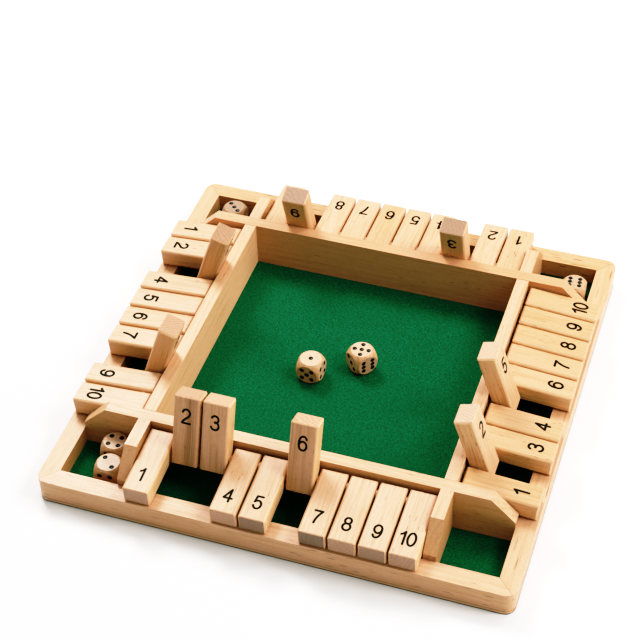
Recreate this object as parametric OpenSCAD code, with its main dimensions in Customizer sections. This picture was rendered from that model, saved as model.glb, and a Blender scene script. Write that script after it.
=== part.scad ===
// Four-player "shut the box" dice game.
// A square wooden tray with a felt floor, an inner well for rolling the dice,
// four rows of ten hinged number tiles and four corner pockets for spare dice.
//
// Millimetres. +Z is up. The origin is the centre of the tray's underside.
// The front row faces -Y; the other rows are the front row turned by 90, 180
// and 270 degrees about +Z.

/* [Tray] */
// Outside width of the square tray
tray_w = 300; // [298:1:304]
// Thickness of the base board
base_t = 3; // [2:0.5:5]
// Radius of the tray's four upright corners
corner_r = 7; // [3:0.5:9]
// Width of the outer rails, seen from above
rail_w = 12; // [11:0.5:14]
// Height of the outer rails above the base board
rail_h = 14.4; // [13.4:0.1:15]
// Thickness of the felt on the floor
felt_t = 2; // [1:0.5:3]
// Gap between the felt's edge and the rails
felt_gap = 0.1; // [0:0.05:0.5]

/* [Inner walls] */
// Width of the square well between the inner walls
well_w = 184; // [184:0.5:186]
// Thickness of the inner walls
wall_t = 8; // [7.5:0.5:8.5]
// Height of the inner walls above the felt
wall_h = 32.4; // [31.4:0.1:33.4]
// Length of the slope at the end of a wall
slope_run = 15.5; // [8:0.5:18]
// Drop of the slope at the end of a wall
slope_drop = 15.5; // [12:0.5:24]

/* [Number tiles] */
// Length of a tile
tile_len = 47.8; // [46:0.2:48.4]
// Width of a tile
tile_w = 17.2; // [15:0.1:17.3]
// Thickness of a tile
tile_t = 12.6; // [11.6:0.1:12.8]
// Radius of a tile's long edges
tile_r = 2; // [0.5:0.1:3]
// Chamfer at a tile's inner end, which swings past the wall
heel_chamfer = 1; // [0.8:0.1:2]
// Chamfer at a tile's outer end
toe_chamfer = 0.5; // [0.2:0.1:1]
// Chamfer at the four upright corners of a lying tile
corner_chamfer = 0.9; // [0.4:0.1:1.4]
// Distance from a tile's inner end to its pivot
tile_heel = 6.9; // [6.6:0.1:7]
// Distance from the inner wall's outer face to the pivots
pivot_out = 8.4; // [8.3:0.1:8.8]
// Height of the pivots above the felt
pivot_h = 23.1; // [22.6:0.1:23.6]
// Height of a lying tile's pivot hole above the middle of its thickness
hole_up = 1.3; // [1.2:0.1:1.5]
// Gap left where a tile rests on a rail or leans on a wall
rest_gap = 0.1; // [0.05:0.05:0.3]

/* [Pivots] */
// Diameter of the pivot rods
rod_d = 3; // [2.5:0.1:4]
// Clearance around a rod, on the radius
rod_clear = 0.05; // [0.03:0.01:0.1]
// Depth that a rod's end reaches into the wall
rod_sink = 5; // [3:0.5:6]
// Diameter of the spacer rings between the tiles
spacer_d = 6.4; // [5:0.2:9]
// Play left beside each spacer ring
spacer_play = 0.1; // [0.05:0.05:0.2]

/* [Dice] */
// Width of a die across its flat faces
die_w = 16; // [15:0.5:16.5]
// Diameter of the round that takes off a die's corners, as a multiple of its width
die_round = 1.33; // [1.3:0.01:1.45]
// Diameter of a pip
pip_d = 3.2; // [2:0.1:3.2]
// Depth of a pip
pip_depth = 0.45; // [0.2:0.05:0.6]
// Distance of a pip from the middle lines of its face, as a fraction of the width
pip_pitch = 0.206; // [0.17:0.002:0.22]

/* [Hidden] */
TILES = 10;
// Tiles that stand raised, row by row: front, right, back, left.
RAISED = [[2, 3, 6], [2, 5], [3, 9], [3, 8]];

floor_z = base_t + felt_t;
rail_top = base_t + rail_h;
rail_in = tray_w / 2 - rail_w;
wall_in = well_w / 2;
wall_out = wall_in + wall_t;
wall_top = floor_z + wall_h;
slope_start = rail_in - slope_run;

pitch = well_w / TILES;
half_t = tile_t / 2;
toe = tile_len - tile_heel;
pivot_y = wall_out + pivot_out;
pivot_z = floor_z + pivot_h;
bore_d = rod_d + 2 * rod_clear;

// From the pivot to the upper and the lower face of a lying tile.
above = half_t - hole_up;
below = half_t + hole_up;

// Slope of a lying tile, down towards the rail that its outer end rests on.
droop = asin((pivot_z - rail_top - rest_gap) / sqrt(toe * toe + below * below))
        - atan2(below, toe);
// Lean of a raised tile beyond upright, back against the wall's top edge.
lean = acos((above + rest_gap) / sqrt(pow(pivot_out, 2) + pow(wall_top - pivot_z, 2)))
       - atan2(wall_top - pivot_z, pivot_out);

pip_sphere = (pip_d * pip_d / 4 + pip_depth * pip_depth) / (2 * pip_depth);
pip_at = die_w * pip_pitch;

WOOD = [0.90, 0.76, 0.55];
WOOD_DARK = [0.80, 0.62, 0.40];
WOOD_TILE = [0.93, 0.81, 0.62];
FELT = [0.02, 0.33, 0.20];
DIE_WOOD = [0.86, 0.68, 0.48];
STEEL = [0.62, 0.62, 0.64];

function is_raised(row, n) = len([for (k = RAISED[row]) if (k == n) k]) > 0;

// Rectangle with round corners, centred.
module round_rect(w, h, r) {
    square([w - 2 * r, h], center = true);
    square([w, h - 2 * r], center = true);
    for (x = [-1, 1], y = [-1, 1])
        translate([x * (w / 2 - r), y * (h / 2 - r)]) circle(r = r, $fn = 48);
}

// Turns a shape of the front row to one of the four sides.
module side(row) {
    rotate([0, 0, 90 * row]) children();
}

module base_board() {
    color(WOOD_DARK) linear_extrude(base_t) round_rect(tray_w, tray_w, corner_r);
}

module felt_floor() {
    w = 2 * (rail_in - felt_gap);
    color(FELT) translate([-w / 2, -w / 2, base_t]) cube([w, w, felt_t]);
}

// One rail, mitred at both ends, with half of each round tray corner.
module rail(row) {
    o = tray_w / 2;
    color(WOOD) side(row) translate([0, 0, base_t]) linear_extrude(rail_h)
        intersection() {
            round_rect(tray_w, tray_w, corner_r);
            polygon([[-o, -o], [o, -o], [rail_in, -rail_in], [-rail_in, -rail_in]]);
        }
}

// A long wall that runs from rail to rail, with sloped ends and two sockets
// for the ends of the neighbouring rows' rods.
module long_wall(row) {
    color(WOOD) side(row) difference() {
        translate([0, -wall_in, 0]) rotate([90, 0, 0]) linear_extrude(wall_t)
            polygon([
                [-rail_in, floor_z], [rail_in, floor_z],
                [rail_in, wall_top - slope_drop], [slope_start, wall_top],
                [-slope_start, wall_top], [-rail_in, wall_top - slope_drop]
            ]);
        for (x = [-1, 1]) translate([x * pivot_y, -wall_in + 1, pivot_z])
            rotate([90, 0, 0]) cylinder(d = bore_d, h = rod_sink + 1.2, $fn = 48);
    }
}

// A short wall that fits between the two long ones.
module short_wall(row) {
    color(WOOD) side(row)
        translate([-wall_in, -wall_out, floor_z]) cube([well_w, wall_t, wall_h]);
}

// The four short pieces that close the ends of the front and back rows, each
// sloped down to its rail and drilled for a rod's end.
module corner_dividers() {
    color(WOOD) for (x = [0, 1], y = [0, 1]) mirror([x, 0, 0]) mirror([0, y, 0])
        difference() {
            translate([wall_in, 0, 0]) rotate([90, 0, 90]) linear_extrude(wall_t)
                polygon([
                    [wall_out, floor_z], [rail_in, floor_z],
                    [rail_in, wall_top - slope_drop], [slope_start, wall_top],
                    [wall_out, wall_top]
                ]);
            translate([wall_in - 1, pivot_y, pivot_z])
                rotate([0, 90, 0]) cylinder(d = bore_d, h = rod_sink + 1.2, $fn = 48);
        }
}

// One rod under each row, through all ten tiles and into both end walls.
module pivot_rods() {
    color(STEEL) for (row = [0:3]) side(row)
        translate([-wall_in - rod_sink, -pivot_y, pivot_z])
            rotate([0, 90, 0]) cylinder(d = rod_d, h = well_w + 2 * rod_sink, $fn = 48);
}

// Nine rings on each rod keep the tiles apart.
module tile_spacers() {
    t = pitch - tile_w - 2 * spacer_play;
    color(WOOD_DARK) for (row = [0:3], k = [1:TILES - 1]) side(row)
        translate([-wall_in + pitch * k - t / 2, -pivot_y, pivot_z])
            rotate([0, 90, 0]) difference() {
                cylinder(d = spacer_d, h = t, $fn = 48);
                translate([0, 0, -1]) cylinder(d = bore_d, h = t + 2, $fn = 48);
            }
}

// A flat-lying tile around its own pivot: length along -Y, width along X.
module tile_blank() {
    e = tile_w / 2 - corner_chamfer;
    difference() {
        intersection() {
            translate([0, tile_heel, -hole_up]) rotate([90, 0, 0]) linear_extrude(tile_len)
                round_rect(tile_w, tile_t, tile_r);
            translate([-tile_w, 0, 0]) rotate([90, 0, 90]) linear_extrude(2 * tile_w)
                polygon([
                    [tile_heel, above - heel_chamfer], [tile_heel - heel_chamfer, above],
                    [-toe + toe_chamfer, above], [-toe, above - toe_chamfer],
                    [-toe, -below + toe_chamfer], [-toe + toe_chamfer, -below],
                    [tile_heel - heel_chamfer, -below], [tile_heel, -below + heel_chamfer]
                ]);
            translate([0, 0, -tile_t]) linear_extrude(2 * tile_t)
                polygon([
                    [-e, tile_heel], [e, tile_heel],
                    [tile_w / 2, tile_heel - corner_chamfer], [tile_w / 2, -toe + corner_chamfer],
                    [e, -toe], [-e, -toe],
                    [-tile_w / 2, -toe + corner_chamfer], [-tile_w / 2, tile_heel - corner_chamfer]
                ]);
        }
        rotate([0, 90, 0]) cylinder(d = bore_d, h = 2 * tile_w, center = true, $fn = 48);
    }
}

// Tile n of a row, lying or raised, in its place on the rod.
module number_tile(row, n) {
    color(WOOD_TILE) side(row)
        translate([-wall_in + pitch * (n - 0.5), -pivot_y, pivot_z])
            rotate([is_raised(row, n) ? -90 - lean : droop, 0, 0]) tile_blank();
}

// The places of the pips of a face, for a face that is seen straight on.
function pips(n) =
    n == 1 ? [[0, 0]] :
    n == 2 ? [[1, 1], [-1, -1]] :
    n == 3 ? [[-1, 1], [0, 0], [1, -1]] :
    n == 4 ? [[-1, 1], [1, 1], [-1, -1], [1, -1]] :
    n == 5 ? [[-1, 1], [1, 1], [0, 0], [-1, -1], [1, -1]] :
             [[-1, 1], [1, 1], [-1, 0], [1, 0], [-1, -1], [1, -1]];

// The pips of one face, sunk into the top of the die.
module face_pips(n) {
    for (p = pips(n))
        translate([p[0] * pip_at, p[1] * pip_at, die_w / 2 + pip_sphere - pip_depth])
            sphere(r = pip_sphere, $fn = 48);
}

// A die about its own centre: 1 on top, 5 at the front, 4 at the right.
module die_blank() {
    difference() {
        intersection() {
            cube(die_w, center = true);
            sphere(d = die_w * die_round, $fn = 96);
        }
        face_pips(1);
        rotate([90, 0, 0]) face_pips(5);
        rotate([0, 90, 0]) face_pips(4);
        rotate([-90, 0, 0]) face_pips(2);
        rotate([0, -90, 0]) face_pips(3);
        rotate([180, 0, 0]) face_pips(6);
    }
}

// A die that lies on the felt at x, y, turned over by tip and then round by turn.
module die(x, y, tip, turn) {
    color(DIE_WOOD) translate([x, y, floor_z + die_w / 2 + 0.02])
        rotate([0, 0, turn]) rotate(tip) die_blank();
}

base_board();
felt_floor();
rail(0);  // front_rail
rail(1);  // right_rail
rail(2);  // back_rail
rail(3);  // left_rail
long_wall(0);  // front_wall
short_wall(1);  // right_wall
long_wall(2);  // back_wall
short_wall(3);  // left_wall
corner_dividers();
pivot_rods();
tile_spacers();

number_tile(0, 1);  // front_tile_01
number_tile(0, 2);  // front_tile_02
number_tile(0, 3);  // front_tile_03
number_tile(0, 4);  // front_tile_04
number_tile(0, 5);  // front_tile_05
number_tile(0, 6);  // front_tile_06
number_tile(0, 7);  // front_tile_07
number_tile(0, 8);  // front_tile_08
number_tile(0, 9);  // front_tile_09
number_tile(0, 10);  // front_tile_10
number_tile(1, 1);  // right_tile_01
number_tile(1, 2);  // right_tile_02
number_tile(1, 3);  // right_tile_03
number_tile(1, 4);  // right_tile_04
number_tile(1, 5);  // right_tile_05
number_tile(1, 6);  // right_tile_06
number_tile(1, 7);  // right_tile_07
number_tile(1, 8);  // right_tile_08
number_tile(1, 9);  // right_tile_09
number_tile(1, 10);  // right_tile_10
number_tile(2, 1);  // back_tile_01
number_tile(2, 2);  // back_tile_02
number_tile(2, 3);  // back_tile_03
number_tile(2, 4);  // back_tile_04
number_tile(2, 5);  // back_tile_05
number_tile(2, 6);  // back_tile_06
number_tile(2, 7);  // back_tile_07
number_tile(2, 8);  // back_tile_08
number_tile(2, 9);  // back_tile_09
number_tile(2, 10);  // back_tile_10
number_tile(3, 1);  // left_tile_01
number_tile(3, 2);  // left_tile_02
number_tile(3, 3);  // left_tile_03
number_tile(3, 4);  // left_tile_04
number_tile(3, 5);  // left_tile_05
number_tile(3, 6);  // left_tile_06
number_tile(3, 7);  // left_tile_07
number_tile(3, 8);  // left_tile_08
number_tile(3, 9);  // left_tile_09
number_tile(3, 10);  // left_tile_10

die(-20.8, -4, [0, 0, 0], -3.5);  // die_1
die(8.3, 13.4, [-90, 0, 0], 48.5);  // die_2
die(-114, -108.4, [0, -90, 0], 1);  // die_3
die(-110.9, -126, [90, 0, 0], -87);  // die_4
die(-121.2, 125, [0, 90, 0], 3);  // die_5
die(126.8, 118, [180, 0, 0], 4.8);  // die_6
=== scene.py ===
import math
import random

import bmesh
import bpy
from mathutils import Matrix, Vector
from mathutils.geometry import delaunay_2d_cdt


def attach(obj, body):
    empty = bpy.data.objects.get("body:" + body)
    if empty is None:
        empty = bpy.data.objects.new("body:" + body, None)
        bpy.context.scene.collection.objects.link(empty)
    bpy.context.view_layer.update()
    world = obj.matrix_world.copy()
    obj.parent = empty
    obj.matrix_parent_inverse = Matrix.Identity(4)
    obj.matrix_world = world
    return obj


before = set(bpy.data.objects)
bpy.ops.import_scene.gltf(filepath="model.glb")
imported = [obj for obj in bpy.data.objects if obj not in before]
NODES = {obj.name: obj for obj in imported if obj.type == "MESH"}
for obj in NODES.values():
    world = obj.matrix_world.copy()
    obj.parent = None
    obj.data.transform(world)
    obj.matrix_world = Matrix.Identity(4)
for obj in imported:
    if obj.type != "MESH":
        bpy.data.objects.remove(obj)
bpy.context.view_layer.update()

MM = 0.001

# ------------------------------------------------------------------ sizes, as in part.scad
WALL_IN, WALL_OUT, RAIL_IN = 92.0, 100.0, 138.0
PITCH, PIVOT_Y, PIVOT_Z = 18.4, 108.4, 28.1
TILE_W, TILE_T, TOE, HEEL, HOLE_UP = 17.2, 12.6, 40.9, 6.9, 1.3
DROOP, LEAN = 4.23556, 18.07518
RAISED = [(2, 3, 6), (2, 5), (3, 9), (3, 8)]
ROWS = ["front", "right", "back", "left"]
DICE = {
    "die_1": ((-20.8, -4.0), (0, 0, 0), -3.5),
    "die_2": ((8.3, 13.4), (-90, 0, 0), 48.5),
    "die_3": ((-114.0, -108.4), (0, -90, 0), 1.0),
    "die_4": ((-110.9, -126.0), (90, 0, 0), -87.0),
    "die_5": ((-121.2, 125.0), (0, 90, 0), 3.0),
    "die_6": ((126.8, 118.0), (180, 0, 0), 4.8),
}
DIE_Z, DIE_W, PIP_D, PIP_DEPTH, PIP_AT = 13.02, 16.0, 3.2, 0.45, 16 * 0.206


def rot(angle, axis):
    return Matrix.Rotation(math.radians(angle), 4, axis)


def tile_matrix(row, n):
    """Tile's own frame (width X, length -Y, thickness Z, pivot at 0) to the row frame, in mm."""
    raised = n in RAISED[row]
    return (
        rot(90 * row, "Z")
        @ Matrix.Translation((-WALL_IN + PITCH * (n - 0.5), -PIVOT_Y, PIVOT_Z))
        @ rot(-90 - LEAN if raised else DROOP, "X")
    )


def die_matrix(name):
    (x, y), tip, turn = DICE[name]
    tipped = rot(tip[2], "Z") @ rot(tip[1], "Y") @ rot(tip[0], "X")
    return Matrix.Translation((x, y, DIE_Z)) @ rot(turn, "Z") @ tipped


# ------------------------------------------------------------------ node tree helper
class Tree:
    def __init__(self, name):
        self.mat = bpy.data.materials.new(name)
        self.mat.use_nodes = True
        self.t = self.mat.node_tree
        self.t.nodes.clear()
        self.out = self.t.nodes.new("ShaderNodeOutputMaterial")
        self.bsdf = self.t.nodes.new("ShaderNodeBsdfPrincipled")
        self.t.links.new(self.bsdf.outputs[0], self.out.inputs[0])

    def new(self, kind, **props):
        n = self.t.nodes.new(kind)
        for k, v in props.items():
            setattr(n, k, v)
        return n

    def put(self, socket, value):
        if isinstance(value, bpy.types.NodeSocket):
            self.t.links.new(value, socket)
        elif value is not None:
            socket.default_value = value

    def math(self, op, a, b=None, c=None, clamp=False):
        n = self.new("ShaderNodeMath", operation=op, use_clamp=clamp)
        for i, v in enumerate((a, b, c)):
            if v is not None:
                self.put(n.inputs[i], v)
        return n.outputs[0]

    def vec(self, op, a, b=None):
        n = self.new("ShaderNodeVectorMath", operation=op)
        self.put(n.inputs[0], a)
        if b is not None:
            self.put(n.inputs[1], b)
        return n.outputs["Value"] if op in ("DOT_PRODUCT", "LENGTH") else n.outputs["Vector"]

    def ramp(self, v, lo, hi, to_lo=0.0, to_hi=1.0, smooth=True):
        n = self.new("ShaderNodeMapRange", clamp=True)
        n.interpolation_type = "SMOOTHSTEP" if smooth else "LINEAR"
        self.put(n.inputs["Value"], v)
        for k, x in (("From Min", lo), ("From Max", hi), ("To Min", to_lo), ("To Max", to_hi)):
            self.put(n.inputs[k], x)
        return n.outputs["Result"]

    def noise(self, v, scale=1.0, detail=2.0, rough=0.5, color=False):
        n = self.new("ShaderNodeTexNoise", noise_dimensions="3D")
        self.put(n.inputs["Vector"], v)
        n.inputs["Scale"].default_value = scale
        n.inputs["Detail"].default_value = detail
        n.inputs["Roughness"].default_value = rough
        return n.outputs["Color" if color else "Fac"]

    def mix(self, f, a, b, kind="MIX"):
        n = self.new("ShaderNodeMix", data_type="RGBA", blend_type=kind)
        self.put(n.inputs[0], f)
        self.put(n.inputs[6], a if not isinstance(a, tuple) else (*a, 1.0))
        self.put(n.inputs[7], b if not isinstance(b, tuple) else (*b, 1.0))
        return n.outputs[2]

    def stretched(self, p, sx, sy, sz, shift):
        """p scaled by axis and shifted, so that no two pieces share a pattern."""
        return self.vec("ADD", self.vec("MULTIPLY", p, (sx, sy, sz)), shift)

    def local_mm(self, to_row_mm):
        """Object coordinates turned into the piece's own frame, in mm. to_row_mm maps that frame to the row frame."""
        inv = to_row_mm.inverted()
        tc = self.new("ShaderNodeTexCoord")
        m = self.new("ShaderNodeMapping", vector_type="POINT")
        self.put(m.inputs["Vector"], tc.outputs["Object"])
        m.inputs["Scale"].default_value = (1000, 1000, 1000)
        m.inputs["Rotation"].default_value = inv.to_3x3().to_euler("XYZ")
        m.inputs["Location"].default_value = inv.to_translation()
        return m.outputs["Vector"], tc.outputs["Normal"]


# ------------------------------------------------------------------ wood
CREAM = (0.698, 0.400, 0.266)
HONEY = (0.576, 0.288, 0.137)
AMBER = (0.370, 0.172, 0.054)
# UMBER colours the pores and also paints shade deep in the gaps; GOLD, SUN and PALE serve only as painted light on
# single faces
UMBER = (0.145, 0.063, 0.020)
GOLD = (0.740, 0.442, 0.235)
SUN = (0.800, 0.500, 0.275)
PALE = (0.860, 0.560, 0.330)


def lerp(a, b, f):
    return tuple(x + (y - x) * f for x, y in zip(a, b))


def wood(name, to_row, seed, tone=0.3, ring=2.8, ring_show=0.45, streak=0.35, fleck=0.5,
         pith=None, end_shade=0.80, core=None, rough=0.40, blotch=0.5, grain=0.36, size=None, mitre=False, faces=(), dash_len=11.0, dash_pick=0.45,
         dash_wide=0.24, dash_core=0.07, patchy=0.15):
    """Lacquered pale wood. to_row's Z axis is the grain. Rings lie round a pith beside the piece, so the long faces
    show bands and the ends show arcs."""
    rnd = random.Random(seed)
    t = Tree(name)
    p, normal = t.local_mm(to_row)
    s = Vector((rnd.uniform(-50, 50), rnd.uniform(-50, 50), rnd.uniform(-50, 50)))
    if pith is None:
        a, d = rnd.uniform(0, 2 * math.pi), rnd.uniform(22, 60)
        pith = (d * math.cos(a), d * math.sin(a))

    # growth rings, bent a little along the grain
    bend = t.noise(t.stretched(p, 0.045, 0.045, 0.012, s), detail=2.0, color=True)
    bend = t.vec("MULTIPLY", t.vec("SUBTRACT", bend, (0.5, 0.5, 0.5)), (9.0, 9.0, 0.0))
    q = t.vec("MULTIPLY", t.vec("SUBTRACT", t.vec("ADD", p, bend), (pith[0], pith[1], 0.0)), (1.0, 1.0, 0.0))
    r = t.math("DIVIDE", t.vec("LENGTH", q), ring)
    wob = t.noise(t.stretched(q, 0.12, 0.12, 0.0, s), detail=1.0)
    r = t.math("ADD", r, t.math("MULTIPLY", wob, 1.6))
    f = t.math("FRACT", r)
    late = t.math("MULTIPLY", t.ramp(f, 0.25, 0.88), t.ramp(f, 1.0, 0.90))
    blot = t.noise(t.stretched(p, 0.035, 0.035, 0.018, s * 1.7), detail=2.0)
    late = t.math("MULTIPLY", late, t.ramp(blot, 0.30, 0.65, 0.35, 1.0))

    fibre = t.noise(t.stretched(p, 3.2, 3.2, 0.10, s * 2.3), detail=3.0, rough=0.62)
    band = t.noise(t.stretched(p, 0.36, 0.36, 0.012, s * 3.1), detail=3.0, rough=0.55)
    band_f = t.ramp(band, 0.46, 0.72)
    lines = t.noise(t.stretched(t.vec("ADD", p, t.vec("MULTIPLY", bend, (0.4, 0.4, 0.0))), 0.95, 0.95, 0.030, s * 6.1),
                    detail=2.0, rough=0.6)
    mottle = t.noise(t.stretched(p, 0.85, 0.85, 0.55, s * 8.3), detail=2.0, rough=0.7)

    light = lerp(CREAM, HONEY, tone)
    deep = lerp(HONEY, AMBER, 0.25 + 0.5 * tone)
    colour = t.mix(t.math("MULTIPLY", late, ring_show), light, deep)
    colour = t.mix(t.math("MULTIPLY", band_f, streak), colour, lerp(HONEY, AMBER, 0.2 + 0.5 * tone))
    colour = t.mix(t.math("MULTIPLY", t.ramp(blot, 0.42, 0.72), blotch * 0.5), colour, lerp(CREAM, HONEY, 0.75))
    # painted light and shade: single faces of a board painted paler where light reaches them and darker where they face
    # away from it or lie deep in a gap
    for direction, amount, tint, lo, hi in faces:
        on = t.ramp(t.vec("DOT_PRODUCT", normal, direction), lo, hi, 0.0, amount)
        colour = t.mix(on, colour, tint)
    colour = t.mix(t.ramp(fibre, 0.30, 0.75, 0.0, 0.18), colour, lerp(HONEY, AMBER, 0.35))
    colour = t.mix(t.ramp(lines, 0.50, 0.72, 0.0, grain), colour, lerp(HONEY, AMBER, 0.85))
    colour = t.mix(t.ramp(mottle, 0.48, 0.72, 0.0, 0.22), colour, lerp(HONEY, AMBER, 0.45))
    colour = t.mix(t.ramp(mottle, 0.28, 0.46, 0.18, 0.0), colour, tuple(x * 1.12 for x in CREAM))

    # short dark pores along the grain, in loose patches
    v = t.new("ShaderNodeTexVoronoi", feature="F1")
    t.put(v.inputs["Vector"], t.stretched(p, 0.55, 0.55, 1 / dash_len, s * 4.3))
    v.inputs["Scale"].default_value = 1.0
    dash = t.ramp(v.outputs["Distance"], dash_core, dash_wide, 1.0, 0.0)
    pick = t.new("ShaderNodeSeparateColor")
    t.put(pick.inputs[0], v.outputs["Color"])
    dash = t.math("MULTIPLY", dash, t.math("GREATER_THAN", pick.outputs[0], dash_pick))
    patch = t.ramp(t.noise(t.stretched(p, 0.06, 0.06, 0.03, s * 5.9), detail=1.0), 0.42, 0.62, patchy, 1.0)
    dash = t.math("MULTIPLY", dash, patch)

    # a brown heart zone made of soft streaks, where a piece has it
    if core:
        cx, width, strength, tint = core
        sep = t.new("ShaderNodeSeparateXYZ")
        t.put(sep.inputs[0], t.vec("ADD", p, t.vec("MULTIPLY", bend, (0.35, 0.35, 0.0))))
        dx = t.math("ABSOLUTE", t.math("SUBTRACT", sep.outputs[0], cx))
        zone = t.ramp(dx, 0.0, width, 1.0, 0.0)
        stripes = t.noise(t.stretched(p, 0.75, 0.20, 0.014, s * 7.7), detail=3.0, rough=0.65)
        c = t.math("MULTIPLY", zone, t.ramp(stripes, 0.40, 0.60, 0.25, 1.0))
        colour = t.mix(t.math("MULTIPLY", c, strength), colour, tint)

    if size:
        # sanded edges with a painted highlight: a little paler where two faces of the block meet
        hx, hy, z0, z1 = size
        q3 = t.vec("ABSOLUTE", t.vec("SUBTRACT", p, (0.0, 0.0, (z0 + z1) / 2)))
        q3 = t.vec("SUBTRACT", q3, (hx, hy, (z1 - z0) / 2))
        near = t.new("ShaderNodeSeparateXYZ")
        t.put(near.inputs[0], q3)
        n3 = [t.ramp(o, -1.5, -0.2) for o in near.outputs]
        edge = t.math("SUBTRACT", t.math("ADD", t.math("ADD", n3[0], n3[1]), n3[2]), 1.0, clamp=True)
        colour = t.mix(t.math("MULTIPLY", edge, 0.35), colour, tuple(x * 1.12 for x in CREAM))
    if mitre:
        # the glue line of the mitred corners
        tc = t.new("ShaderNodeTexCoord")
        a = t.new("ShaderNodeSeparateXYZ")
        t.put(a.inputs[0], t.vec("ABSOLUTE", tc.outputs["Object"]))
        off = t.math("ABSOLUTE", t.math("SUBTRACT", a.outputs[0], a.outputs[1]))
        upper = t.ramp(t.vec("DOT_PRODUCT", normal, (0, 0, 1)), 0.80, 0.95, 0.10, 1.0)
        line = t.math("MULTIPLY", t.ramp(off, 0.0002, 0.0006, 0.42, 0.0), upper)
        colour = t.mix(line, colour, tuple(x * 0.6 for x in AMBER))

    # end grain: greyer, with clearer rings and fine round pores
    axis = to_row.to_3x3().normalized() @ Vector((0, 0, 1))
    end = t.ramp(t.math("ABSOLUTE", t.vec("DOT_PRODUCT", normal, tuple(axis))), 0.72, 0.95)
    speck = t.noise(t.stretched(p, 2.6, 2.6, 0.0, s * 1.3), detail=2.0, rough=0.7)
    end_light = tuple(x * k * end_shade for x, k in zip(lerp(CREAM, HONEY, 0.15 + tone * 0.6), (1.00, 0.985, 1.06)))
    end_deep = tuple(x * k * end_shade for x, k in zip(lerp(HONEY, AMBER, 0.30 + 0.3 * tone), (0.99, 0.99, 1.00)))
    ends = t.mix(t.math("MULTIPLY", late, 0.60), end_light, end_deep)
    ends = t.mix(t.ramp(speck, 0.42, 0.70, 0.0, 0.35), ends, tuple(x * 0.40 for x in end_deep))
    ends = t.mix(t.ramp(mottle, 0.45, 0.70, 0.0, 0.30), ends, tuple(x * 0.6 for x in end_deep))
    side = t.mix(t.math("MULTIPLY", dash, fleck), colour, UMBER)
    full = t.mix(end, side, ends)
    t.put(t.bsdf.inputs["Base Color"], full)

    t.put(t.bsdf.inputs["Roughness"], t.ramp(fibre, 0.25, 0.8, rough - 0.05, rough + 0.12))
    t.bsdf.inputs["Specular IOR Level"].default_value = 0.42
    h = t.math("ADD", t.math("MULTIPLY", fibre, 0.6), t.math("MULTIPLY", late, -0.25))
    h = t.math("SUBTRACT", h, t.math("MULTIPLY", dash, 0.8))
    b = t.new("ShaderNodeBump")
    b.inputs["Strength"].default_value = 0.30
    b.inputs["Distance"].default_value = 0.00012
    t.put(b.inputs["Height"], h)
    t.put(t.bsdf.inputs["Normal"], b.outputs[0])
    return t.mat


def ply(name):
    """The base board: thin plywood. Its edge shows a pale core between a dark glue line above and a dark rim below,
    painted shadow where the board stands on the floor.
    """
    mat = wood(name, ALONG_X, 223, tone=0.05, ring=9.0, ring_show=0.3, streak=0.3, fleck=0.3, pith=(20, 400), rough=0.5)
    t = Tree.__new__(Tree)
    t.mat, t.t = mat, mat.node_tree
    bsdf = next(n for n in t.t.nodes if n.type == "BSDF_PRINCIPLED")
    plain = bsdf.inputs["Base Color"].links[0].from_socket
    tc = t.new("ShaderNodeTexCoord")
    z = t.new("ShaderNodeSeparateXYZ")
    t.put(z.inputs[0], tc.outputs["Object"])
    # painted shadow: the lowest millimetre of the edge is painted dark where the board stands on the floor
    rim = t.ramp(z.outputs[2], 0.0006, 0.0011, 0.95, 0.0)
    glue = t.ramp(z.outputs[2], 0.0022, 0.0027, 0.0, 0.55)
    flat = t.ramp(t.math("ABSOLUTE", t.vec("DOT_PRODUCT", tc.outputs["Normal"], (0, 0, 1))), 0.85, 0.97, 1.0, 0.0)
    c = t.mix(t.math("MULTIPLY", t.math("MAXIMUM", rim, glue), flat), plain, (0.030, 0.018, 0.008))
    t.put(bsdf.inputs["Base Color"], c)
    return mat


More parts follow.
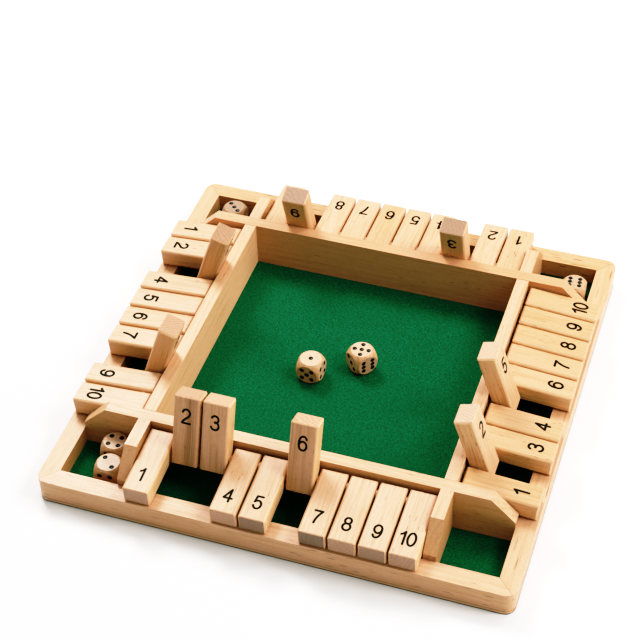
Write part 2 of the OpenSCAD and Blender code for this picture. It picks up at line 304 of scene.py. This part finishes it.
def felt(name):
    t = Tree(name)
    p, _ = t.local_mm(Matrix.Identity(4))
    fine = t.noise(t.stretched(p, 0.95, 0.95, 0.95, Vector((3, 7, 1))), detail=3.0, rough=0.75)
    fuzz = t.noise(t.stretched(p, 2.2, 2.2, 2.2, Vector((9, 2, 5))), detail=2.0, rough=0.7)
    # pressed fibres: short strokes in two directions
    warp = t.noise(t.stretched(p, 2.0, 0.55, 1.0, Vector((1, 4, 8))), detail=2.0, rough=0.6)
    weft = t.noise(t.stretched(p, 0.55, 2.0, 1.0, Vector((6, 1, 3))), detail=2.0, rough=0.6)
    nap = t.math("MAXIMUM", warp, weft)
    cloud = t.noise(t.stretched(p, 0.028, 0.028, 0.028, Vector((5, 5, 5))), detail=3.0)
    c = t.mix(t.ramp(fine, 0.34, 0.66), (0.0008, 0.052, 0.024), (0.0018, 0.115, 0.056))
    c = t.mix(t.ramp(nap, 0.55, 0.70, 0.0, 0.70), c, (0.0035, 0.182, 0.092))
    c = t.mix(t.ramp(fuzz, 0.28, 0.46, 0.70, 0.0), c, (0.0006, 0.028, 0.012))
    c = t.mix(t.ramp(cloud, 0.30, 0.70, 0.0, 0.20), c, (0.0014, 0.075, 0.036))
    # painted shade: darker towards the back rail, and along the right rail in the back-right pocket
    xyz = t.new("ShaderNodeSeparateXYZ")
    t.put(xyz.inputs[0], p)
    back = t.ramp(xyz.outputs[1], 122.0, 133.0)
    side = t.math("MULTIPLY", t.ramp(xyz.outputs[0], 124.0, 132.0), t.ramp(xyz.outputs[1], 98.0, 102.0))
    c = t.mix(t.math("MULTIPLY", t.math("MAXIMUM", back, side), 0.75), c, (0.0005, 0.016, 0.007))
    t.put(t.bsdf.inputs["Base Color"], c)
    t.bsdf.inputs["Roughness"].default_value = 0.95
    t.bsdf.inputs["Specular IOR Level"].default_value = 0.15
    t.bsdf.inputs["Sheen Weight"].default_value = 0.12
    t.bsdf.inputs["Sheen Roughness"].default_value = 0.5
    t.bsdf.inputs["Sheen Tint"].default_value = (0.25, 0.9, 0.5, 1.0)
    b = t.new("ShaderNodeBump")
    b.inputs["Strength"].default_value = 0.75
    b.inputs["Distance"].default_value = 0.0004
    t.put(b.inputs["Height"], t.math("ADD", t.math("MULTIPLY", nap, 0.6), t.math("MULTIPLY", fuzz, 0.4)))
    t.put(t.bsdf.inputs["Normal"], b.outputs[0])
    return t.mat


def steel(name):
    t = Tree(name)
    p, _ = t.local_mm(Matrix.Identity(4))
    n = t.noise(t.stretched(p, 0.5, 0.5, 6.0, Vector((1, 2, 3))), detail=3.0)
    t.put(t.bsdf.inputs["Base Color"], t.mix(t.ramp(n, 0.3, 0.7), (0.42, 0.42, 0.43), (0.60, 0.60, 0.61)))
    t.bsdf.inputs["Metallic"].default_value = 1.0
    t.put(t.bsdf.inputs["Roughness"], t.ramp(n, 0.3, 0.7, 0.26, 0.42))
    return t.mat


def ink(name):
    t = Tree(name)
    p, _ = t.local_mm(Matrix.Identity(4))
    n = t.noise(p, 2.5, 3.0, 0.6)
    t.put(t.bsdf.inputs["Base Color"], t.mix(t.ramp(n, 0.35, 0.75), (0.0015, 0.0015, 0.0015), (0.006, 0.005, 0.004)))
    t.put(t.bsdf.inputs["Roughness"], t.ramp(n, 0.3, 0.7, 0.55, 0.70))
    t.bsdf.inputs["Specular IOR Level"].default_value = 0.15
    return t.mat


def pip_paint(name):
    t = Tree(name)
    p, _ = t.local_mm(Matrix.Identity(4))
    n = t.noise(p, 3.0, 2.0)
    t.put(t.bsdf.inputs["Base Color"], t.mix(t.ramp(n, 0.3, 0.7), (0.0015, 0.0015, 0.0015), (0.006, 0.005, 0.005)))
    t.put(t.bsdf.inputs["Roughness"], t.ramp(n, 0.3, 0.7, 0.24, 0.34))
    t.bsdf.inputs["Specular IOR Level"].default_value = 0.22
    return t.mat


def die_wood(name, to_row, seed, tone_and_pocket_shade=1.0):
    """Sanded hardwood: pale where a face is flat, darker where the corners are rounded across the grain."""
    rnd = random.Random(seed)
    t = Tree(name)
    p, normal = t.local_mm(to_row)
    s = Vector((rnd.uniform(-50, 50), rnd.uniform(-50, 50), rnd.uniform(-50, 50)))
    rot3 = to_row.to_3x3().normalized()
    dots = [t.math("ABSOLUTE", t.vec("DOT_PRODUCT", normal, tuple(rot3 @ Vector(a))))
            for a in ((1, 0, 0), (0, 1, 0), (0, 0, 1))]
    top = t.math("MAXIMUM", t.math("MAXIMUM", dots[0], dots[1]), dots[2])
    flat = t.ramp(top, 0.985, 0.998)
    rim = t.math("MULTIPLY", t.ramp(top, 0.962, 0.985), t.ramp(top, 0.992, 0.998, 1.0, 0.0))
    fibre = t.noise(t.stretched(p, 3.0, 3.0, 0.25, s), detail=3.0, rough=0.6)
    band = t.noise(t.stretched(p, 0.5, 0.5, 0.05, s * 2), detail=2.0)

    def shade(r, g, b):
        return r * tone_and_pocket_shade * 1.03, g * tone_and_pocket_shade * 0.95, b * tone_and_pocket_shade * 1.03

    pale = t.mix(t.ramp(fibre, 0.35, 0.7), shade(0.62, 0.41, 0.265), shade(0.54, 0.335, 0.195))
    pale = t.mix(t.ramp(band, 0.45, 0.7, 0.0, 0.5), pale, shade(0.49, 0.29, 0.150))
    dark = t.mix(t.ramp(fibre, 0.35, 0.7), shade(0.62, 0.395, 0.220), shade(0.50, 0.285, 0.135))
    dark = t.mix(t.ramp(band, 0.50, 0.66, 0.0, 0.7), dark, shade(0.46, 0.225, 0.085))
    c = t.mix(flat, dark, pale)
    c = t.mix(t.math("MULTIPLY", rim, 0.5), c, shade(0.42, 0.215, 0.085))
    c = t.mix(t.ramp(t.noise(t.stretched(p, 0.9, 0.9, 0.4, s * 3), detail=3.0), 0.40, 0.65, 0.0, 0.22), c, (0.34, 0.17, 0.065))
    t.put(t.bsdf.inputs["Base Color"], c)
    t.put(t.bsdf.inputs["Roughness"], t.ramp(fibre, 0.3, 0.8, 0.36, 0.50))
    t.bsdf.inputs["Specular IOR Level"].default_value = 0.4
    b = t.new("ShaderNodeBump")
    b.inputs["Strength"].default_value = 0.25
    b.inputs["Distance"].default_value = 0.0001
    t.put(b.inputs["Height"], fibre)
    t.put(t.bsdf.inputs["Normal"], b.outputs[0])
    return t.mat


# ------------------------------------------------------------------ edges of the CAD nodes
def soften_group(mitred):
    """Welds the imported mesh, drops its split normals and marks its sharp edges for the Bevel modifier after it.
    Edges in a mitre plane get a faint bevel, so the mitre reads as a hairline."""
    name = "soften_mitred" if mitred else "soften"
    if name in bpy.data.node_groups:
        return bpy.data.node_groups[name]
    g = bpy.data.node_groups.new(name, "GeometryNodeTree")
    g.interface.new_socket("Geometry", in_out="INPUT", socket_type="NodeSocketGeometry")
    g.interface.new_socket("Geometry", in_out="OUTPUT", socket_type="NodeSocketGeometry")
    n, l = g.nodes, g.links
    gi, go = n.new("NodeGroupInput"), n.new("NodeGroupOutput")
    merge = n.new("GeometryNodeMergeByDistance")
    merge.inputs["Distance"].default_value = 2e-6
    l.new(gi.outputs[0], merge.inputs[0])
    norm = n.new("GeometryNodeSetMeshNormal")
    norm.mode = "SHARPNESS"
    norm.inputs["Remove Custom"].default_value = True
    norm.inputs["Edge Sharpness"].default_value = False
    norm.inputs["Face Sharpness"].default_value = False
    l.new(merge.outputs[0], norm.inputs["Mesh"])
    ang = n.new("GeometryNodeInputMeshEdgeAngle")
    cmp_ = n.new("ShaderNodeMath")
    cmp_.operation = "GREATER_THAN"
    cmp_.inputs[1].default_value = math.radians(28)
    l.new(ang.outputs["Unsigned Angle"], cmp_.inputs[0])
    value = cmp_.outputs[0]
    if mitred:
        pos, sep = n.new("GeometryNodeInputPosition"), n.new("ShaderNodeSeparateXYZ")
        l.new(pos.outputs[0], sep.inputs[0])
        ax, ay, d, ad, far = (n.new("ShaderNodeMath") for _ in range(5))
        ax.operation = ay.operation = ad.operation = "ABSOLUTE"
        d.operation = "SUBTRACT"
        l.new(sep.outputs[0], ax.inputs[0])
        l.new(sep.outputs[1], ay.inputs[0])
        l.new(ax.outputs[0], d.inputs[0])
        l.new(ay.outputs[0], d.inputs[1])
        l.new(d.outputs[0], ad.inputs[0])
        far.operation = "GREATER_THAN"
        far.inputs[1].default_value = 0.00025
        l.new(ad.outputs[0], far.inputs[0])
        # mitre edges keep a tenth of the bevel
        rng = n.new("ShaderNodeMapRange")
        rng.inputs["To Min"].default_value = 0.12
        l.new(far.outputs[0], rng.inputs["Value"])
        mul = n.new("ShaderNodeMath")
        mul.operation = "MULTIPLY"
        l.new(rng.outputs["Result"], mul.inputs[0])
        l.new(cmp_.outputs[0], mul.inputs[1])
        value = mul.outputs[0]
    store = n.new("GeometryNodeStoreNamedAttribute")
    store.data_type, store.domain = "FLOAT", "EDGE"
    store.inputs["Name"].default_value = "bevel_weight_edge"
    l.new(norm.outputs[0], store.inputs["Geometry"])
    l.new(value, store.inputs["Value"])
    l.new(store.outputs[0], go.inputs[0])
    return g


def soften(obj, width, segments=3, mitred=False):
    m = obj.modifiers.new("soften", "NODES")
    m.node_group = soften_group(mitred)
    b = obj.modifiers.new("bevel", "BEVEL")
    b.width = width * MM
    b.segments = segments
    b.limit_method = "WEIGHT"
    b.harden_normals = True
    b.use_clamp_overlap = True
    b.miter_outer = "MITER_ARC"
    return obj


def paint(obj, mat):
    for s in obj.material_slots:
        s.material = mat
    if not obj.material_slots:
        obj.data.materials.append(mat)


# grain frames: X, Y across the grain, Z along it
ALONG_X = Matrix(((0, 0, 1, 0), (1, 0, 0, 0), (0, 1, 0, 0), (0, 0, 0, 1)))
ALONG_Y = Matrix(((1, 0, 0, 0), (0, 0, 1, 0), (0, -1, 0, 0), (0, 0, 0, 1)))
ALONG_Z = Matrix.Identity(4)

for row, side in enumerate(ROWS):
    turn = rot(90 * row, "Z")
    place = turn @ Matrix.Translation((0, -144, 10)) @ ALONG_X
    o = NODES[side + "_rail"]
    # painted shade: each rail's faces that look to the front, and the left rail's inner side, are painted darker
    paint(o, wood("rail_" + side, place, 101 + row * 7, tone=(0.16, 0.36, 0.70, 0.46)[row], ring=4.2, ring_show=0.30,
                  streak=0.42, fleck=0.85, pith=(34, -26), blotch=0.7, grain=0.44, mitre=True,
                  faces=[((0, -1, 0), 0.27, AMBER, 0.55, 0.9)] + ([((1, 0, 0), 0.40, AMBER, 0.55, 0.9)] if row == 3 else []),
                  dash_len=(14.0, 24.0, 16.0, 14.0)[row], dash_pick=(0.50, 0.62, 0.45, 0.50)[row],
                  dash_wide=(0.28, 0.34, 0.32, 0.30)[row], dash_core=(0.09, 0.17, 0.12, 0.12)[row],
                  patchy=(0.15, 0.45, 0.3, 0.3)[row]))
    soften(o, 0.7, 4, mitred=True)
    place = turn @ Matrix.Translation((0, -96, 20)) @ ALONG_X
    o = NODES[side + "_wall"]
    # painted light on single wall faces: the front wall's outer side and the left wall's inner side are painted paler
    # and golden; the back wall's inner side and its top are tinted redder
    faces = ([((0, -1, 0), 0.60, GOLD, 0.5, 0.9)], [], [((0, -1, 0), 0.40, (0.72, 0.345, 0.205), 0.5, 0.9), ((0, 0, 1), 0.40, (0.60, 0.27, 0.15), 0.5, 0.9)],
             [((1, 0, 0), 0.75, (0.82, 0.465, 0.275), 0.5, 0.9)])[row]
    paint(o, wood("wall_" + side, place, 151 + row * 5, tone=(0.14, 0.04, 0.58, 0.34)[row], ring=3.6, ring_show=0.40,
                  streak=0.45, fleck=0.6, pith=(30, 40), blotch=0.6, grain=0.45, faces=faces))
    soften(o, 0.5, 3)

# painted shade: the dividers' faces that look to the front and to the right are painted darker
paint(NODES["corner_dividers"], wood("dividers", ALONG_Y, 211, tone=0.12, ring=3.4, ring_show=0.35, streak=0.35,
                                     fleck=0.5, pith=(300, 60), faces=[((0, -1, 0), 0.62, AMBER, 0.5, 0.9), ((1, 0, 0), 0.58, AMBER, 0.5, 0.9)]))
soften(NODES["corner_dividers"], 0.35, 2)
paint(NODES["base_board"], ply("base_ply"))
soften(NODES["base_board"], 0.6, 3)
paint(NODES["tile_spacers"], wood("spacer_wood", ALONG_Z, 229, tone=0.95, ring=2.0, fleck=0.2, pith=(300, 200)))
paint(NODES["pivot_rods"], steel("rod_steel"))
paint(NODES["felt_floor"], felt("felt_green"))

# ------------------------------------------------------------------ tiles
# what sets single tiles apart
TILE_LOOK = {
    (0, 1): dict(tone=0.10, streak=0.20, fleck=0.6, end_shade=0.66),
    (0, 2): dict(tone=0.34, streak=0.4, grain=0.5, core=(3.6, 5.6, 0.75, (0.250, 0.092, 0.034)), end_shade=0.86),
    (0, 3): dict(tone=0.32, streak=0.35, grain=0.55, end_shade=1.02),
    (0, 4): dict(tone=0.18, streak=0.35, end_shade=0.73),
    (0, 5): dict(tone=0.30, streak=0.25, fleck=0.7, end_shade=0.44),
    (0, 6): dict(tone=0.28, streak=0.4, ring=3.4, ring_show=0.6, pith=(26, 30), grain=0.75, end_shade=1.0),
    (0, 7): dict(tone=0.16, streak=0.45, end_shade=0.36),
    (0, 8): dict(tone=0.05, streak=0.20, fleck=0.45, end_shade=0.69),
    (0, 9): dict(tone=0.02, streak=0.20, fleck=0.65, end_shade=0.53),
    (0, 10): dict(tone=0.0, streak=0.16, fleck=0.65, end_shade=0.66),
    (1, 1): dict(tone=0.72, streak=0.65, ring=3.0, ring_show=0.6),
    (1, 2): dict(tone=0.22, streak=0.25, core=(0.0, 2.4, 0.5, (0.36, 0.17, 0.09)), end_shade=0.98),
    (1, 3): dict(tone=0.66),
    (1, 4): dict(tone=0.64),
    (1, 5): dict(tone=0.26, end_shade=1.05),
    (1, 6): dict(tone=0.54),
    (1, 7): dict(tone=0.56),
    (1, 8): dict(tone=0.68),
    (1, 9): dict(tone=0.68),
    (1, 10): dict(tone=0.60),
    (2, 1): dict(tone=0.34),
    (2, 2): dict(tone=-0.10, streak=0.2),
    (2, 3): dict(tone=0.36, streak=0.45, end_shade=0.52),
    (2, 4): dict(tone=0.14),
    (2, 5): dict(tone=0.10),
    (2, 6): dict(tone=0.46),
    (2, 7): dict(tone=0.0, streak=0.2),
    (2, 8): dict(tone=-0.08, streak=0.2),
    (2, 9): dict(tone=0.36, streak=0.45, ring=3.2, ring_show=0.55, pith=(24, 26), end_shade=0.50),
    (2, 10): dict(tone=0.24),
    (3, 1): dict(tone=0.30),
    (3, 2): dict(tone=0.26),
    (3, 3): dict(tone=0.42, streak=0.45, end_shade=0.62),
    (3, 4): dict(tone=0.38),
    (3, 5): dict(tone=0.28),
    (3, 6): dict(tone=0.38),
    (3, 7): dict(tone=0.30),
    (3, 8): dict(tone=0.34, streak=0.45, end_shade=0.80),
    (3, 9): dict(tone=0.20),
    (3, 10): dict(tone=0.14),
}
# painted light: how pale the side that faces the front is painted, in the right and left rows
SIDE_PAINTED_LIGHT = {(1, 1): 0.40, (1, 2): 0.75, (1, 5): 0.85, (3, 2): 0.30, (3, 3): 0.45, (3, 8): 0.75}
INK = ink("tile_ink")


def tile_faces(row, n):
    """Painted light and shade on the sides that are seen between the tiles: golden where light reaches them, brown deep
    in a gap.
    """
    def same(other):
        return 1 <= other <= 10 and ((other in RAISED[row]) == (n in RAISED[row]))
    if row in (1, 3):
        # painted shade on the back side when the next tile is in the same pose, painted light on the side that faces
        # the front
        gap = 0.45 if same(n + 1 if row == 1 else n - 1) else 0.0
        return [((0, -1, 0), SIDE_PAINTED_LIGHT.get((row, n), 0.80 if row == 1 else 0.62),
                 GOLD if row == 3 else PALE if n in (2, 5) else SUN, 0.35, 0.80),
                ((0, 1, 0), gap, UMBER, 0.90, 0.99)]
    if row == 2:
        return [((0, -1, 0), 0.50, GOLD, 0.35, 0.80)]
    # front row: painted shade on the left side, and on the right of most lying tiles, deep in the gaps; painted light
    # on right sides that light reaches
    left = ((-1, 0, 0), 0.45 if same(n - 1) else 0.0, UMBER, 0.90, 0.99)
    if n in (2, 3, 6):
        return [((1, 0, 0), 0.75 if n != 2 else 0.0, SUN, 0.35, 0.80), left, ((0, -1, 0), 0.04 if n == 3 else 0.13, AMBER, 0.35, 0.80)]
    if n in (1, 5, 10):
        return [((1, 0, 0), 0.70, SUN, 0.35, 0.80), left, ((0, -1, 0), 0.25, GOLD, 0.35, 0.80)]
    return [((1, 0, 0), 0.60, UMBER, 0.90, 0.99), left, ((0, -1, 0), 0.25, GOLD, 0.35, 0.80)]


def arc(cx, cy, rx, ry, a0, a1, n=18):
    return [(cx + rx * math.cos(math.radians(a0 + (a1 - a0) * i / n)),
             cy + ry * math.sin(math.radians(a0 + (a1 - a0) * i / n))) for i in range(n + 1)]


def bezier(p0, p1, p2, p3, n=14):
    out = []
    for i in range(n + 1):
        u = i / n
        k = ((1 - u) ** 3, 3 * u * (1 - u) ** 2, 3 * u * u * (1 - u), u ** 3)
        out.append(tuple(sum(c * p[j] for c, p in zip(k, (p0, p1, p2, p3))) for j in (0, 1)))
    return out


# centre lines of the digits' strokes in mm, in a box about 4.7 wide and 9 high round 0, 0
DIGITS = {
    "0": [arc(0, 0, 2.35, 4.45, 90, 450, 40)],
    "1": [[(0.35, 4.45), (0.35, -4.45)], bezier((0.35, 4.45), (-0.15, 3.55), (-1.0, 2.75), (-1.95, 2.25))],
    "2": [arc(0.0, 2.05, 2.25, 2.4, 168, -22, 24)
          + bezier((2.07, 1.0), (1.35, -0.75), (-2.1, -2.3), (-2.4, -4.4))[1:] + [(2.45, -4.4)]],
    "3": [arc(-0.05, 2.3, 2.1, 2.15, 160, -90, 26), arc(-0.05, -1.95, 2.4, 2.5, 90, -162, 26)],
    "4": [[(0.95, 4.45), (-2.6, -1.9), (2.55, -1.9)], [(0.95, 4.45), (0.95, -4.45)]],
    "5": [[(2.15, 4.4), (-1.45, 4.4), (-2.05, 0.15)] + arc(0.0, -1.55, 2.35, 2.9, 142, -162, 26)[1:]],
    "6": [arc(0.05, -1.65, 2.3, 2.8, 90, 450, 34),
          bezier((2.2, 2.7), (1.75, 4.75), (-0.55, 5.0), (-1.55, 3.1)) + bezier((-1.55, 3.1), (-2.3, 1.7), (-2.4, 0.0), (-2.25, -1.65))[1:]],
    "7": [[(-2.4, 4.35), (2.45, 4.35)] + bezier((2.45, 4.35), (0.9, 2.5), (-0.75, -0.6), (-1.0, -4.45))[1:]],
    "8": [arc(0, 2.35, 1.95, 2.1, 90, 450, 30), arc(0, -2.0, 2.35, 2.45, 90, 450, 32)],
    "9": [arc(-0.05, 1.65, 2.3, 2.8, 90, 450, 34),
          bezier((-2.2, -2.7), (-1.75, -4.75), (0.55, -5.0), (1.55, -3.1)) + bezier((1.55, -3.1), (2.3, -1.7), (2.4, 0.0), (2.25, 1.65))[1:]],
}
STROKE = (1.46, 1.60, 1.52, 1.64)


def stroke_width(row, n):
    """The printed line's width in mm; the three raised front tiles are printed a little finer."""
    return 1.30 if row == 0 and n in (2, 3, 6) else STROKE[row]


def stroke_quads(line, w):
    """One quad for each step of a centre line, and a disc at each point, as 2-D polygons."""
    out = []
    for (x0, y0), (x1, y1) in zip(line, line[1:]):
        d = math.hypot(x1 - x0, y1 - y0)
        if d < 1e-6:
            continue
        nx, ny = -(y1 - y0) / d * w / 2, (x1 - x0) / d * w / 2
        out.append([(x0 + nx, y0 + ny), (x0 - nx, y0 - ny), (x1 - nx, y1 - ny), (x1 + nx, y1 + ny)])
    for x, y in line:
        out.append([(x + w / 2 * math.cos(a), y + w / 2 * math.sin(a)) for a in
                    (2 * math.pi * (k + 0.5) / 14 for k in range(14))])
    return out


def glyph(text, w):
    """Union of a number's strokes, w mm wide: 2-D points and triangles."""
    polys = []
    shifts = {"10": (-2.75, 2.15)}.get(text, (0.0,))
    for ch, dx in zip(text, shifts):
        for line in DIGITS[ch]:
            polys += stroke_quads([(x + dx, y) for x, y in line], w)
    verts, faces = [], []
    for poly in polys:
        base = len(verts)
        verts += [Vector(p) for p in poly]
        faces.append(list(range(base, base + len(poly))))
    v, _, f, _, _, of = delaunay_2d_cdt(verts, [], faces, 0, 1e-4)
    return [tuple(p) for p in v], [tri for tri, src in zip(f, of) if src]


DIGIT_U = TOE - 12.6  # middle of the digit, from the pivot towards the outer end


def number_piece(row, n):
    """The number on both faces of a tile: two thin printed layers, each a closed solid, sunk a little into the wood."""
    m = tile_matrix(row, n)
    pts, tris = glyph(str(n), stroke_width(row, n))
    bm = bmesh.new()
    for face in (1, -1):
        # on the upper face the digit's top points at the pivot, on the lower face at the outer end
        def place(p, z):
            x, y = (p[0], p[1]) if face == 1 else (p[0] * 1.03, p[1] * 1.07 - 0.4)
            return m @ Vector((x, -DIGIT_U + face * y, face * z - HOLE_UP)) * MM
        up = [bm.verts.new(place(p, TILE_T / 2 + 0.03)) for p in pts]
        dn = [bm.verts.new(place(p, TILE_T / 2 - 0.06)) for p in pts]
        count = {}
        for a, b, c in tris:
            for e in ((a, b), (b, c), (c, a)):
                count[frozenset(e)] = count.get(frozenset(e), 0) + 1
        for a, b, c in tris:
            bm.faces.new((up[a], up[b], up[c]))
            bm.faces.new((dn[c], dn[b], dn[a]))
            for i, j in ((a, b), (b, c), (c, a)):
                if count[frozenset((i, j))] == 1:
                    bm.faces.new((up[j], up[i], dn[i], dn[j]))
    loose = [v for v in bm.verts if not v.link_faces]
    bmesh.ops.delete(bm, geom=loose, context="VERTS")
    bmesh.ops.recalc_face_normals(bm, faces=bm.faces[:])
    name = f"{ROWS[row]}_number_{n:02d}"
    me = bpy.data.meshes.new(name)
    bm.to_mesh(me)
    bm.free()
    me.materials.append(INK)
    o = bpy.data.objects.new(name, me)
    bpy.context.scene.collection.objects.link(o)
    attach(o, f"{ROWS[row]}_tile_{n:02d}")
    return o


for row in range(4):
    for n in range(1, 11):
        name = f"{ROWS[row]}_tile_{n:02d}"
        rnd = random.Random(1000 + row * 50 + n)
        look = dict(tone=rnd.uniform(0.06, 0.34), ring=rnd.uniform(1.7, 2.6), ring_show=rnd.uniform(0.25, 0.5),
                    streak=rnd.uniform(0.22, 0.48), fleck=rnd.uniform(0.35, 0.75), dash_core=0.10, dash_len=9.0)
        look.update(end_shade=rnd.uniform(0.60, 0.85), grain=rnd.uniform(0.42, 0.62), size=(TILE_W / 2, TILE_T / 2, -HEEL, TOE),
                    faces=tile_faces(row, n))
        look.update(TILE_LOOK.get((row, n), {}))
        frame_m = (tile_matrix(row, n) @ Matrix.Translation((0, 0, -HOLE_UP))
                   @ Matrix(((1, 0, 0, 0), (0, 0, -1, 0), (0, 1, 0, 0), (0, 0, 0, 1))))
        o = NODES[name]
        paint(o, wood(name + "_wood", frame_m, 500 + row * 40 + n, **look))
        soften(o, 0.45, 3)
        number_piece(row, n)

# ------------------------------------------------------------------ dice and their pips
PIP_PAINT = pip_paint("pip_black")
PIPS = {
    1: [(0, 0)], 2: [(1, 1), (-1, -1)], 3: [(-1, 1), (0, 0), (1, -1)], 4: [(-1, 1), (1, 1), (-1, -1), (1, -1)],
    5: [(-1, 1), (1, 1), (0, 0), (-1, -1), (1, -1)], 6: [(-1, 1), (1, 1), (-1, 0), (1, 0), (-1, -1), (1, -1)],
}
FACES = {1: ((0, 0, 0)), 5: (90, 0, 0), 4: (0, 90, 0), 2: (-90, 0, 0), 3: (0, -90, 0), 6: (180, 0, 0)}


def pips_piece(die):
    m = die_matrix(die)
    r = (PIP_D ** 2 / 4 + PIP_DEPTH ** 2) / (2 * PIP_DEPTH)
    reach = math.asin(PIP_D / 2 / r) * 0.96
    bm = bmesh.new()
    for face, turn in FACES.items():
        f = m @ rot(turn[2], "Z") @ rot(turn[1], "Y") @ rot(turn[0], "X")
        for px, py in PIPS[face]:
            c = Vector((px * PIP_AT, py * PIP_AT, DIE_W / 2 + r - PIP_DEPTH))
            rings, seg = 5, 24
            shells = []
            for rad in (r - 0.035, r + 0.06):
                tip = bm.verts.new(f @ (c + Vector((0, 0, -rad))) * MM)
                grid = []
                for i in range(1, rings + 1):
                    a = reach * i / rings
                    grid.append([bm.verts.new(f @ (c + Vector((rad * math.sin(a) * math.cos(2 * math.pi * k / seg),
                                                              rad * math.sin(a) * math.sin(2 * math.pi * k / seg),
                                                              -rad * math.cos(a)))) * MM) for k in range(seg)])
                shells.append((tip, grid))
            for s, (tip, grid) in enumerate(shells):
                for k in range(seg):
                    j = (k + 1) % seg
                    bm.faces.new((tip, grid[0][k], grid[0][j]))
                    for i in range(rings - 1):
                        bm.faces.new((grid[i][k], grid[i + 1][k], grid[i + 1][j], grid[i][j]))
            for k in range(seg):
                j = (k + 1) % seg
                bm.faces.new((shells[0][1][-1][k], shells[1][1][-1][k], shells[1][1][-1][j], shells[0][1][-1][j]))
    bmesh.ops.recalc_face_normals(bm, faces=bm.faces[:])
    name = die + "_pips"
    me = bpy.data.meshes.new(name)
    bm.to_mesh(me)
    bm.free()
    for p in me.polygons:
        p.use_smooth = True
    me.materials.append(PIP_PAINT)
    o = bpy.data.objects.new(name, me)
    bpy.context.scene.collection.objects.link(o)
    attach(o, die)


for i, die in enumerate(DICE):
    # the lower levels of the four dice in the corner pockets are partly painted shade
    paint(NODES[die], die_wood(die + "_wood", die_matrix(die), 900 + i, (1.03, 1.05, 0.92, 0.82, 0.54, 0.86)[i]))
    pips_piece(die)

# ------------------------------------------------------------------ floor, light, camera
bpy.ops.mesh.primitive_plane_add(size=8, location=(0, 0, 0))
floor = bpy.context.object
floor.name = "studio_floor"
ft = Tree("studio_white")
fp, _ = ft.local_mm(Matrix.Identity(4))
fn = ft.noise(fp, 0.01, 2.0)
ft.put(ft.bsdf.inputs["Base Color"], ft.mix(ft.ramp(fn, 0.3, 0.7), (0.955, 0.952, 0.945), (0.97, 0.967, 0.96)))
ft.bsdf.inputs["Roughness"].default_value = 0.9
ft.bsdf.inputs["Specular IOR Level"].default_value = 0.1
floor.data.materials.append(ft.mat)

scene = bpy.context.scene
world = bpy.data.worlds.new("studio")
scene.world = world
world.use_nodes = True
bg = world.node_tree.nodes["Background"]
bg.inputs[0].default_value = (1.0, 1.0, 1.0, 1.0)
bg.inputs[1].default_value = 0.16


def softbox(name, azimuth, height, distance, size, power):
    """A square lamp aimed at the middle of the tray. Azimuth 0 is behind it (+Y), 90 on its right (+X)."""
    a, e = math.radians(azimuth), math.radians(height)
    d = bpy.data.lights.new(name, "AREA")
    d.shape = "SQUARE"
    d.size = size
    d.energy = power
    o = bpy.data.objects.new(name, d)
    scene.collection.objects.link(o)
    o.location = Vector((math.sin(a) * math.cos(e), math.cos(a) * math.cos(e), math.sin(e))) * distance
    o.rotation_mode = "QUATERNION"
    o.rotation_quaternion = (-o.location).to_track_quat("-Z", "Y")
    return o


softbox("key_back_left", -45, 50, 1.4, 0.45, 9.6)
softbox("back_right", 45, 50, 1.4, 0.45, 3.8)
softbox("top_back", 0, 68, 1.5, 0.50, 2.9)
softbox("right", 90, 50, 1.4, 0.45, 5.1)
softbox("right_low", 90, 22, 1.4, 0.60, 4.9)
softbox("left_low", 270, 22, 1.4, 0.60, 1.4)

cam = bpy.data.cameras.new("photo_camera")
cam.lens, cam.sensor_width, cam.sensor_fit = 96.69, 36.0, "HORIZONTAL"
cam.clip_start, cam.clip_end = 0.05, 20
cam_o = bpy.data.objects.new("photo_camera", cam)
scene.collection.objects.link(cam_o)
right = Vector((0.94996413, 0.31183276, -0.01812377))
down = Vector((0.20270921, -0.65959682, -0.72376861))
fwd = Vector((-0.23764915, 0.68388037, -0.6898047))
cam_o.matrix_world = Matrix((
    (right.x, -down.x, -fwd.x, 0.244548),
    (right.y, -down.y, -fwd.y, -0.747674),
    (right.z, -down.z, -fwd.z, 0.807258),
    (0, 0, 0, 1)))
scene.camera = cam_o

scene.view_settings.view_transform = "Standard"
scene.view_settings.look = "None"
scene.view_settings.exposure = 0.0
# a product photograph's contrast: a short toe, quick middle and a soft shoulder up to the white floor
scene.view_settings.use_curve_mapping = True
tone = scene.view_settings.curve_mapping.curves[3]
for at in ((0.03, 0.016), (0.07, 0.08), (0.13, 0.195), (0.20, 0.36), (0.30, 0.57), (0.45, 0.80), (0.65, 0.925), (0.85, 0.985)):
    tone.points.new(*at)
red, green = (scene.view_settings.curve_mapping.curves[i] for i in (0, 1))
for at in ((0.50, 0.504), (0.74, 0.758), (0.92, 0.957)):
    red.points.new(*at)
for at in ((0.016, 0.019), (0.056, 0.064), (0.10, 0.110), (0.20, 0.209), (0.36, 0.365), (0.50, 0.502), (0.74, 0.735)):
    green.points.new(*at)
scene.view_settings.curve_mapping.update()

bpy.context.view_layer.update()
